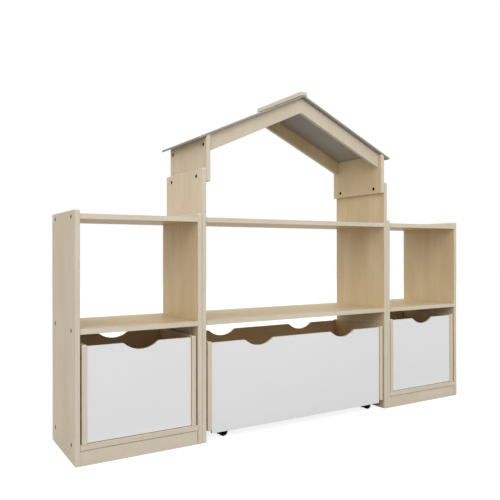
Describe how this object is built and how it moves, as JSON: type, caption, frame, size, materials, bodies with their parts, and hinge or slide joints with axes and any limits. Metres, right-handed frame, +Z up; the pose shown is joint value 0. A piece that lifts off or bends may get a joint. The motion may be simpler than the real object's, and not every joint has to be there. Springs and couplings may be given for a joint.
{
  "type": "house shaped bookcase",
  "caption": "House shaped children's bookcase: low side cabinets with pull-out bins, a pitched-roof centre unit and a toy chest rolling on casters.",
  "frame": {"origin": "on the floor, under the middle of the roof sheets' outline", "axes": "+X to the right seen from the front, +Y to the back, +Z up"},
  "size_m": [1.6, 0.3, 1.1748],
  "materials": {
    "natural_board": "pale natural wood, satin",
    "white_board": "white outer face, natural edges",
    "grey_sheet": "warm grey paint, matte",
    "dowel_wood": "raw beech",
    "black_steel": "black, satin",
    "zinc_screw": "zinc plated",
    "plated_steel": "zinc plated",
    "caster_body": "moulded black",
    "caster_wheel": "moulded black, smooth tread"
  },
  "bodies": {
    "case": {"left_outer_side": "natural_board", "left_inner_side": "natural_board", "left_top_shelf": "natural_board", "left_middle_shelf": "natural_board", "left_bottom_shelf": "natural_board", "left_toe_kick": "natural_board", "right_inner_side": "natural_board", "right_outer_side": "natural_board", "right_top_shelf": "natural_board", "right_middle_shelf": "natural_board", "right_bottom_shelf": "natural_board", "right_toe_kick": "natural_board", "left_upright": "natural_board", "right_upright": "natural_board", "centre_top_shelf": "natural_board", "centre_middle_shelf": "natural_board", "left_cheek": "natural_board", "right_cheek": "natural_board", "front_gable": "natural_board", "back_gable": "natural_board", "left_roof_sheet": "grey_sheet", "right_roof_sheet": "grey_sheet", "ridge_cap": "natural_board", "case_screws": "black_steel", "join_bolts": "black_steel", "join_sleeves": "black_steel", "kick_dowels": "dowel_wood", "roof_screws": "zinc_screw"},
    "left_bin": {"left_bin_front": "white_board", "left_bin_back": "natural_board", "left_bin_left": "natural_board", "left_bin_right": "natural_board", "left_bin_floor": "natural_board", "left_bin_screws": "zinc_screw"},
    "right_bin": {"right_bin_front": "white_board", "right_bin_back": "natural_board", "right_bin_left": "natural_board", "right_bin_right": "natural_board", "right_bin_floor": "natural_board", "right_bin_screws": "zinc_screw"},
    "chest": {"chest_front": "white_board", "chest_back": "natural_board", "chest_left": "natural_board", "chest_right": "natural_board", "chest_floor": "natural_board", "chest_screws": "zinc_screw", "caster_plates": "plated_steel", "plate_screws": "zinc_screw"},
    "caster_front_left": {"hood_front_left": "caster_body"},
    "roller_front_left": {"wheels_front_left": "caster_wheel", "axle_front_left": "plated_steel"},
    "caster_front_right": {"hood_front_right": "caster_body"},
    "roller_front_right": {"wheels_front_right": "caster_wheel", "axle_front_right": "plated_steel"},
    "caster_back_left": {"hood_back_left": "caster_body"},
    "roller_back_left": {"wheels_back_left": "caster_wheel", "axle_back_left": "plated_steel"},
    "caster_back_right": {"hood_back_right": "caster_body"},
    "roller_back_right": {"wheels_back_right": "caster_wheel", "axle_back_right": "plated_steel"}
  },
  "joints": [
    {"name": "left_bin_slide", "type": "slide", "parent": "case", "child": "left_bin", "axis": [0, -1, 0], "range_m": [0, 0.24]},
    {"name": "right_bin_slide", "type": "slide", "parent": "case", "child": "right_bin", "axis": [0, -1, 0], "range_m": [0, 0.24]},
    {"name": "chest_slide", "type": "slide", "parent": "case", "child": "chest", "axis": [0, -1, 0], "range_m": [0, 0.4]},
    {"name": "swivel_front_left", "type": "hinge", "parent": "chest", "child": "caster_front_left", "pos_m": [-0.317, -0.10082, 0.036], "axis": [0, 0, 1], "continuous": true},
    {"name": "roll_front_left", "type": "hinge", "parent": "caster_front_left", "child": "roller_front_left", "pos_m": [-0.306, -0.10082, 0.016], "axis": [0, 1, 0], "continuous": true},
    {"name": "swivel_front_right", "type": "hinge", "parent": "chest", "child": "caster_front_right", "pos_m": [0.317, -0.10082, 0.036], "axis": [0, 0, 1], "continuous": true},
    {"name": "roll_front_right", "type": "hinge", "parent": "caster_front_right", "child": "roller_front_right", "pos_m": [0.328, -0.10082, 0.016], "axis": [0, 1, 0], "continuous": true},
    {"name": "swivel_back_left", "type": "hinge", "parent": "chest", "child": "caster_back_left", "pos_m": [-0.317, 0.09083, 0.036], "axis": [0, 0, 1], "continuous": true},
    {"name": "roll_back_left", "type": "hinge", "parent": "caster_back_left", "child": "roller_back_left", "pos_m": [-0.306, 0.09083, 0.016], "axis": [0, 1, 0], "continuous": true},
    {"name": "swivel_back_right", "type": "hinge", "parent": "chest", "child": "caster_back_right", "pos_m": [0.317, 0.09083, 0.036], "axis": [0, 0, 1], "continuous": true},
    {"name": "roll_back_right", "type": "hinge", "parent": "caster_back_right", "child": "roller_back_right", "pos_m": [0.328, 0.09083, 0.016], "axis": [0, 1, 0], "continuous": true}
  ]
}
